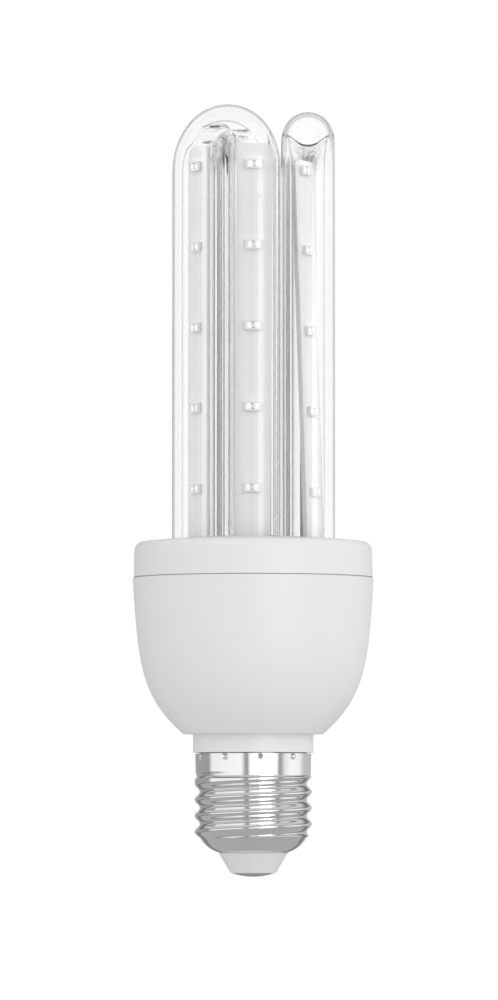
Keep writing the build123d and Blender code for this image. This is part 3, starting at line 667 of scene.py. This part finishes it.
def bend_tube(name, first, second, low, high, radius, sizes, glasses):
    """A U-tube: a circle pushed up one leg, spun over three arcs and pushed down the other leg."""
    half = (second - first).length / 2
    crown = sizes.crown_radius
    rise = sizes.bend_height
    side = (half**2 + rise * (rise - 2 * crown)) / (2 * (half - crown))
    turn = math.atan2(rise - crown, side - half)
    base = high - radius - rise
    deselect()
    bpy.ops.mesh.primitive_circle_add(
        vertices=sizes.tube_sides, radius=radius, fill_type="NOTHING", location=(-half, 0, low)
    )
    tube = bpy.context.object
    tube.name = name
    settle(tube)
    bpy.ops.object.mode_set(mode="EDIT")
    bpy.ops.mesh.select_all(action="SELECT")
    bpy.ops.mesh.extrude_region_move(TRANSFORM_OT_translate={"value": (0, 0, base - low)})
    for angle, centre in (
        (turn, (side - half, 0, base)),
        (math.pi - 2 * turn, (0, 0, base + rise - crown)),
        (turn, (half - side, 0, base)),
    ):
        steps = max(LEAST_ARC_STEPS, round(math.degrees(angle) / ARC_STEP))
        bpy.ops.mesh.spin(steps=steps, angle=angle, center=centre, axis=(0, -1, 0))
    bpy.ops.mesh.extrude_region_move(TRANSFORM_OT_translate={"value": (0, 0, low - base)})
    bpy.ops.mesh.select_all(action="SELECT")
    bpy.ops.mesh.remove_doubles(threshold=MERGE_DISTANCE)
    bpy.ops.mesh.normals_make_consistent(inside=False)
    bpy.ops.object.mode_set(mode="OBJECT")
    press_crown(tube, half, base, rise, radius, sizes.crown_press)
    for glass in glasses:
        tube.data.materials.append(glass)
    wall = tube.modifiers.new("wall", "SOLIDIFY")
    wall.material_offset = 1
    wall.material_offset_rim = 1
    wall.thickness = sizes.glass_wall
    wall.offset = -1
    wall.use_even_offset = True
    bpy.ops.object.modifier_apply(modifier=wall.name)
    middle = (first + second) / 2
    across = second - first
    tube.matrix_world = Matrix.Translation((middle.x, middle.y, 0)) @ Matrix.Rotation(
        math.atan2(across.y, across.x), 4, "Z"
    )
    settle(tube)
    bpy.ops.object.shade_smooth_by_angle(angle=math.radians(TUBE_SMOOTH))
    return tube


def leg_centres(node, radius):
    """The centres of a tube node's two legs at its foot, from its lowest vertices."""
    low, _ = corners(node)
    foot = [v.co.copy() for v in NODES[node].data.vertices if v.co.z < low.z + FOOT_HEIGHT]
    second_edge = max(foot, key=lambda point: (point - foot[0]).length)
    first_edge = max(foot, key=lambda point: (point - second_edge).length)
    centres = []
    for edge in (first_edge, second_edge):
        leg = [point for point in foot if (point - edge).length < LEG_REACH * radius]
        across = (
            (min(point[i] for point in leg) + max(point[i] for point in leg)) / 2
            for i in range(2)
        )
        centres.append(Vector((*across, low.z)))
    if (centres[1] - centres[0]).length < 2 * radius:
        raise RuntimeError(f"{node} doesn't stand on two legs")
    return centres


class LAMP_OT_housing(Operator):
    """Give the housing and the cover their moulded plastic, and the seam a dark ring of painted
    shade
    """

    bl_idname = "lamp.housing"
    bl_label = "Housing"

    def execute(self, context):
        sizes = context.scene.lamp_sizes
        colours = context.scene.lamp_finishes
        plastic = grained(
            "moulded_plastic", colours.housing_colour, shade=0.012, gloss=0.42, spread=0.08,
            size=0.35 * MM, relief=0.12, depth=0.02 * MM, IOR=1.46,
        )
        for node in ("lower_housing", "upper_cover"):
            dress(node, plastic)
        # Painted shade: a thin dark ring in the seam stands for the groove's shade
        deselect()
        bpy.ops.mesh.primitive_torus_add(
            major_radius=sizes.seam_radius, minor_radius=sizes.seam_wire, major_segments=192,
            minor_segments=8, location=(0, 0, corners("lower_housing")[1].z),
        )
        line = bpy.context.object
        settle(line)
        seam = grained(
            "seam_painted_shade", colours.seam_shade_colour, shade=0.05, gloss=0.6, spread=0.05,
            size=0.3 * MM, relief=0.1, depth=0.01 * MM,
        )
        gather([line], "seam_shade_line", seam)
        return {"FINISHED"}


class LAMP_OT_cap(Operator):
    """Give the screw shell, the insulator and the contact their finishes"""

    bl_idname = "lamp.cap"
    bl_label = "Screw cap"

    def execute(self, context):
        colours = context.scene.lamp_finishes
        shell = smooth_copy("screw_shell", "plated_screw_shell", SHELL_SMOOTH)
        shell.data.materials.append(grained(
            "rolled_plated_sheet", colours.cap_colour, shade=0.03, gloss=0.07, spread=0.05,
            size=0.3 * MM, relief=0.06, depth=0.01 * MM, Metallic=1.0,
        ))
        dress("cap_insulator", grained(
            "insulator_moulding", colours.insulator_colour, shade=0.02, gloss=0.4, spread=0.06,
            size=0.3 * MM, relief=0.1, depth=0.02 * MM, IOR=1.48,
        ))
        dress("centre_contact", grained(
            "tinned_contact", colours.contact_colour, shade=0.06, gloss=0.35, spread=0.1,
            size=0.2 * MM, relief=0.2, depth=0.02 * MM, Metallic=1.0,
        ))
        return {"FINISHED"}


class LAMP_OT_tubes(Operator):
    """Bend the three glass U-tubes"""

    bl_idname = "lamp.tubes"
    bl_label = "Glass tubes"

    def execute(self, context):
        sizes = context.scene.lamp_sizes
        colours = context.scene.lamp_finishes
        reach = {node: corners(node) for node in TUBE_NODES}
        low, high = reach["glass_tube_right"]
        radius = (high.x - low.x) / 2 - TUBE_TRIM
        for node in TUBE_NODES:
            low, high = reach[node]
            first, second = leg_centres(node, radius)
            pinch = (first + second) / 2
            pinch.z = high.z - 2 * radius + sizes.crown_press / 2
            name = node.replace("glass_tube", "clear_tube")
            # Painted shade on both walls: the outer one darkens edge-on and greys the bend's
            # creases, the inner one darkens only where quite edge-on
            outer = glass_material(
                name + "_outside", colours.glass_edge_shade, pinch, sizes, colours.glass_pinch_shade
            )
            inner = glass_material(name + "_inside", 1.0, pinch, sizes, 1.0)
            tube = bend_tube(
                name, first, second, low.z, high.z, radius, sizes, (outer, inner)
            )
            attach(tube, "root")
            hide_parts(node)
        return {"FINISHED"}


def led_frames(node):
    """Centre, half sizes and the across, up and out directions of a strip's LED packages."""
    mesh = NODES[node].data
    points = sorted((vertex.co.copy() for vertex in mesh.vertices), key=lambda point: point.z)
    packages = [[points[0]]]
    for point in points[1:]:
        if point.z - packages[-1][-1].z > LED_SPLIT:
            packages.append([])
        packages[-1].append(point)
    middle = sum(points, Vector()) / len(points)
    radial = Vector((middle.x, middle.y, 0)).normalized()
    out = Vector()
    for face in mesh.polygons:
        if face.normal.dot(radial) > OUTWARD:
            out += face.normal * face.area
    if not out.length:
        raise RuntimeError(f"{node} has no face that looks out")
    out.normalize()
    up = (Vector((0, 0, 1)) - out * out.z).normalized()
    axes = (up.cross(out), up, out)
    frames = []
    for package in packages:
        centre = Vector()
        half = []
        for axis in axes:
            along = [point.dot(axis) for point in package]
            centre += axis * (min(along) + max(along)) / 2
            half.append((max(along) - min(along)) / 2)
        frames.append((centre, half, axes))
    return frames


def model_block(sizes, bevel=0.0):
    """A small box at the origin, with softened edges where a bevel is given."""
    deselect()
    bpy.ops.mesh.primitive_cube_add(size=1)
    block = bpy.context.object
    block.scale = sizes
    settle(block)
    if bevel:
        bpy.ops.object.mode_set(mode="EDIT")
        bpy.ops.mesh.select_all(action="SELECT")
        bpy.ops.mesh.bevel(offset=bevel, segments=2)
        bpy.ops.object.mode_set(mode="OBJECT")
    return block


def place_copy(block, place, axes):
    """A copy of a block with its own mesh, its sides along three given directions."""
    copy = block.copy()
    copy.data = block.data.copy()
    bpy.context.scene.collection.objects.link(copy)
    copy.matrix_world = Matrix.Translation(place) @ Matrix(axes).transposed().to_4x4()
    settle(copy)
    return copy


def gather(blocks, name, material):
    """Joins blocks into one piece that rides with the lamp."""
    deselect()
    for block in blocks:
        block.select_set(True)
    bpy.context.view_layer.objects.active = blocks[0]
    bpy.ops.object.join()
    piece = bpy.context.object
    piece.name = name
    piece.data.materials.clear()
    piece.data.materials.append(material)
    bpy.ops.object.shade_smooth_by_angle(angle=math.radians(BLOCK_SMOOTH))
    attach(piece, "root")
    return piece


class LAMP_OT_strips(Operator):
    """Give the LED strips and the board below them their finishes, and fill the LEDs' windows"""

    bl_idname = "lamp.strips"
    bl_label = "LED strips"

    def execute(self, context):
        sizes = context.scene.lamp_sizes
        colours = context.scene.lamp_finishes
        mask = grained(
            "white_solder_mask", colours.board_colour, shade=0.02, gloss=0.35, spread=0.05,
            size=0.2 * MM, relief=0.1, depth=0.01 * MM, IOR=1.5,
        )
        package = grained(
            "package_moulding", colours.package_colour, shade=0.02, gloss=0.25, spread=0.05,
            size=0.1 * MM, relief=0.1, depth=0.01 * MM, IOR=1.5,
        )
        for number in range(1, STRIP_COUNT + 1):
            dress(f"led_strip_{number}", mask)
            dress(f"led_chips_{number}", package)
        dress("strip_board", mask)
        dress("tube_cement", mask)
        # Painted glow: the plated pads emit a little light, though the LEDs are off
        plated = grained(
            "plated_lead_painted_glow", colours.lead_colour, shade=0.01, gloss=0.25, spread=0.05,
            size=0.1 * MM, relief=0.1, depth=0.005 * MM, IOR=1.9, Emission_Strength=0.08,
        )
        solder = grained(
            "solder", colours.solder_colour, shade=0.06, gloss=0.35, spread=0.1,
            size=0.1 * MM, relief=0.3, depth=0.01 * MM, IOR=1.6,
        )
        die = grained(
            "led_die", colours.die_colour, shade=0.05, gloss=0.25, spread=0.05,
            size=0.05 * MM, relief=0.1, depth=0.005 * MM, IOR=1.8,
        )
        for number in range(1, STRIP_COUNT + 1):
            frames = led_frames(f"led_chips_{number}")
            self.fill_windows(number, frames, sizes, (plated, solder, die))
            if number == FRONT_STRIP:
                self.add_test_pad(frames[-1], sizes, solder)
        return {"FINISHED"}

    def add_test_pad(self, top_led, sizes, solder):
        """The small ring of solder below the top LED of the front strip."""
        centre, half, axes = top_led
        across, up, out = axes
        slide, drop = sizes.pad_place
        place = centre + across * slide - up * drop - out * half[2]
        deselect()
        bpy.ops.mesh.primitive_torus_add(
            major_radius=sizes.pad_radius, minor_radius=sizes.pad_wire, major_segments=32,
            minor_segments=8,
        )
        ring = bpy.context.object
        ring.matrix_world = Matrix.Translation(place) @ Matrix(axes).transposed().to_4x4()
        settle(ring)
        gather([ring], "strip_test_pad", solder)

    def fill_windows(self, number, frames, sizes, materials):
        """Pads, solder and dies for the LEDs of one strip, each modelled once and copied."""
        plated, solder, die = materials
        _, half, _ = frames[0]
        lead = model_block(
            (sizes.lead_width, 2 * half[1] - LEAD_MARGIN, LEAD_THICKNESS), LEAD_BEVEL
        )
        fillet = model_block(
            (sizes.solder_width, 2 * half[1] - SOLDER_MARGIN, half[2] * SOLDER_RISE), SOLDER_BEVEL
        )
        chip = model_block((sizes.die_side, sizes.die_side, DIE_THICKNESS))
        leads, fillets, dies = [], [], []
        for centre, half, axes in frames:
            across, up, out = axes
            window = centre + out * (half[2] - LEAD_RECESS)
            foot = centre - out * half[2] * SOLDER_SINK
            for side in (-1, 1):
                lead_slide = side * (sizes.lead_width + sizes.lead_gap) / 2
                fillet_slide = side * (half[0] + sizes.solder_width / 2)
                leads.append(place_copy(lead, window + across * lead_slide, axes))
                fillets.append(place_copy(fillet, foot + across * fillet_slide, axes))
            for slide, lift in DIE_PLACES:
                place = window + across * slide + up * lift * 2 * half[1]
                dies.append(place_copy(chip, place, axes))
        for block in (lead, fillet, chip):
            bpy.data.objects.remove(block, do_unlink=True)
        gather(leads, f"led_leads_{number}", plated)
        gather(fillets, f"led_solder_{number}", solder)
        gather(dies, f"led_dies_{number}", die)


class LAMP_OT_driver(Operator):
    """Give the first part of each finish inside the housing its grain; the rest stay plain"""

    bl_idname = "lamp.driver"
    bl_label = "Driver"

    def execute(self, context):
        record = frame["record"]
        colours = {row["slot"]: row["base_color"][:3] for row in record["materials"]}
        dressed = set()
        for row in record["subparts"]:
            slot = row["material_slot"]
            if slot not in INNER_SLOTS or slot in dressed:
                continue
            dress(row["node"], grained(
                "inner_" + slot, colours[slot], shade=0.06, gloss=0.4, spread=0.1,
                size=0.2 * MM, relief=0.2, depth=0.02 * MM,
            ))
            dressed.add(slot)
        return {"FINISHED"}


def soft_lamp(name, place, target, size, power):
    """A square soft lamp aimed at a point."""
    data = bpy.data.lights.new(name, "AREA")
    data.shape = "RECTANGLE"
    data.size, data.size_y = size
    data.energy = power
    lamp = bpy.data.objects.new(name, data)
    bpy.context.scene.collection.objects.link(lamp)
    lamp.visible_glossy = False
    lamp.location = place
    lamp.rotation_euler = (Vector(target) - Vector(place)).to_track_quat("-Z", "Y").to_euler()
    return lamp


def studio_bands(tree, split):
    """The reflected studio: bands around the horizon, and plainer ones below and above it."""
    toward = math_node(tree, "MULTIPLY", split.outputs["Y"], -1.0)
    azimuth = math_node(tree, "ARCTAN2", split.outputs["X"], toward)
    around = math_node(tree, "ADD", math_node(tree, "DIVIDE", azimuth, 2 * math.pi), 0.5)
    horizon = ramp_node(tree, around, [(turn / 360 + 0.5, level) for turn, level in HORIZON_BANDS])
    height = math_node(tree, "ADD", math_node(tree, "MULTIPLY", split.outputs["Z"], 0.5), 0.5)
    bands = tree.nodes.new("ShaderNodeMix")
    bands.data_type = "RGBA"
    tree.links.new(ramp_node(tree, height, HORIZON_SHARE), bands.inputs["Factor"])
    tree.links.new(ramp_node(tree, height, SKY_BANDS), bands.inputs["A"])
    tree.links.new(horizon, bands.inputs["B"])
    return bands.outputs["Result"]


def even_light(tree, direction, path, strength, inside_gain, deep_gain):
    """The light on matt surfaces: even but for a slope, and more of it through the glass."""
    through = path.outputs["Is Transmission Ray"]
    deep = math_node(tree, "GREATER_THAN", path.outputs["Diffuse Depth"], DEEP_DEPTH)
    gain = math_node(tree, "ADD", math_node(tree, "MULTIPLY", deep, deep_gain), inside_gain)
    lift = math_node(tree, "ADD", math_node(tree, "MULTIPLY", through, gain), 1.0)
    slope = tree.nodes.new("ShaderNodeMix")
    slope.data_type = "VECTOR"
    tree.links.new(through, slope.inputs["Factor"])
    slope.inputs["A"].default_value = LIGHT_SLOPE
    slope.inputs["B"].default_value = INSIDE_SLOPE
    sided = tree.nodes.new("ShaderNodeVectorMath")
    sided.operation = "DOT_PRODUCT"
    tree.links.new(direction, sided.inputs[0])
    tree.links.new(slope.outputs["Result"], sided.inputs[1])
    share = math_node(tree, "ADD", sided.outputs["Value"], 1.0)
    return math_node(tree, "MULTIPLY", math_node(tree, "MULTIPLY", lift, strength), share)


def make_world(strength, inside_gain, deep_gain):
    """White for the camera and for glass, a studio of bands for gloss, even light for the rest."""
    world = bpy.data.worlds.new("studio")
    world.use_nodes = True
    tree = world.node_tree
    background = tree.nodes["Background"]
    direction = tree.nodes.new("ShaderNodeTexCoord").outputs["Generated"]
    split = tree.nodes.new("ShaderNodeSeparateXYZ")
    tree.links.new(direction, split.inputs["Vector"])
    path = tree.nodes.new("ShaderNodeLightPath")
    through = path.outputs["Is Transmission Ray"]
    direct = math_node(tree, "LESS_THAN", path.outputs["Diffuse Depth"], DIRECT_DEPTH)
    open_view = math_node(tree, "MAXIMUM", path.outputs["Is Camera Ray"], through)
    plain = tree.nodes.new("ShaderNodeMix")
    tree.links.new(math_node(tree, "MULTIPLY", open_view, direct), plain.inputs["Factor"])
    even = even_light(tree, direction, path, strength, inside_gain, deep_gain)
    tree.links.new(even, plain.inputs["A"])
    plain.inputs["B"].default_value = 1
    reflected = math_node(tree, "SUBTRACT", path.outputs["Is Glossy Ray"], through)
    shiny = math_node(tree, "MULTIPLY", math_node(tree, "MAXIMUM", reflected, 0.0), direct)
    seen = tree.nodes.new("ShaderNodeMix")
    seen.data_type = "RGBA"
    tree.links.new(shiny, seen.inputs["Factor"])
    tree.links.new(plain.outputs["Result"], seen.inputs["A"])
    tree.links.new(studio_bands(tree, split), seen.inputs["B"])
    tree.links.new(seen.outputs["Result"], background.inputs["Color"])
    background.inputs["Strength"].default_value = 1
    bpy.context.scene.world = world


def floor_material():
    """Matt pale floor, white to the camera and through glass wherever nothing shades it."""
    material, tree, shader = new_material("studio_floor")
    path = tree.nodes.new("ShaderNodeLightPath")
    shader.inputs["Base Color"].default_value = FLOOR_GREY
    shader.inputs["Roughness"].default_value = 0.9
    shader.inputs["Specular IOR Level"].default_value = 0
    shader.inputs["Emission Color"].default_value = (1, 1, 1, 1)
    seen = math_node(
        tree, "MAXIMUM", path.outputs["Is Camera Ray"], path.outputs["Is Transmission Ray"]
    )
    direct = math_node(tree, "LESS_THAN", path.outputs["Diffuse Depth"], DIRECT_DEPTH)
    glow = math_node(tree, "MULTIPLY", math_node(tree, "MULTIPLY", seen, direct), FLOOR_GLOW)
    tree.links.new(glow, shader.inputs["Emission Strength"])
    return material


class LAMP_OT_stage(Operator):
    """Set the floor, the light and the camera of the picture"""

    bl_idname = "lamp.stage"
    bl_label = "Picture set"

    def execute(self, context):
        picture = context.scene.lamp_picture
        deselect()
        bpy.ops.mesh.primitive_circle_add(
            vertices=FLOOR_SIDES, radius=FLOOR_RADIUS, fill_type="NGON",
            location=(0, 0, CAD_BOX[0].z - picture.floor_drop),
        )
        floor = bpy.context.object
        floor.name = "studio_floor"
        settle(floor)
        floor.data.materials.append(floor_material())
        floor.visible_glossy = False
        make_world(picture.world_strength, picture.inside_gain, picture.deep_gain)
        aim = Vector(picture.picture_centre)
        soft_lamp("key_lamp", KEY_PLACE, aim, KEY_SIZE, picture.key_power)
        soft_lamp("fill_lamp", FILL_PLACE, aim, FILL_SIZE, picture.fill_power)
        data = bpy.data.cameras.new("picture_camera")
        data.sensor_fit = "VERTICAL"
        data.sensor_height = SENSOR_HEIGHT
        data.lens = data.sensor_height * picture.camera_distance / picture.picture_height
        data.clip_end = FAR_CLIP
        camera = bpy.data.objects.new("picture_camera", data)
        context.scene.collection.objects.link(camera)
        rise = picture.camera_rise
        away = Vector((0, -math.cos(rise), math.sin(rise)))
        camera.location = aim + away * picture.camera_distance
        camera.rotation_euler = (-away).to_track_quat("-Z", "Y").to_euler()
        context.scene.camera = camera
        context.scene.view_settings.view_transform = "Standard"
        paths = context.scene.cycles
        paths.max_bounces = GLASS_BOUNCES
        paths.transmission_bounces = GLASS_BOUNCES
        paths.glossy_bounces = GLOSSY_BOUNCES
        return {"FINISHED"}


class LAMP_PT_sidebar(Panel):
    """Lists the steps that dress the lamp"""

    bl_idname = "LAMP_PT_sidebar"
    bl_label = "LED lamp"
    bl_space_type = "VIEW_3D"
    bl_region_type = "UI"
    bl_category = "Lamp"

    def draw(self, context):
        for operator in OPERATORS:
            self.layout.operator(operator.bl_idname)


OPERATORS = (
    LAMP_OT_housing,
    LAMP_OT_cap,
    LAMP_OT_tubes,
    LAMP_OT_strips,
    LAMP_OT_driver,
    LAMP_OT_stage,
)
CLASSES = (LampFinishes, LampSizes, LampPicture, *OPERATORS, LAMP_PT_sidebar)


def register():
    """Adds the classes and the settings to the scene type."""
    for item in CLASSES:
        bpy.utils.register_class(item)
    bpy.types.Scene.lamp_finishes = PointerProperty(type=LampFinishes)
    bpy.types.Scene.lamp_sizes = PointerProperty(type=LampSizes)
    bpy.types.Scene.lamp_picture = PointerProperty(type=LampPicture)


def unregister():
    """Removes the settings and the classes."""
    del bpy.types.Scene.lamp_picture
    del bpy.types.Scene.lamp_sizes
    del bpy.types.Scene.lamp_finishes
    for item in reversed(CLASSES):
        bpy.utils.unregister_class(item)


def main():
    """Dresses the lamp and sets the picture."""
    register()
    for operator in OPERATORS:
        group, name = operator.bl_idname.split(".")
        getattr(getattr(bpy.ops, group), name)()


if __name__ == "__main__":
    main()
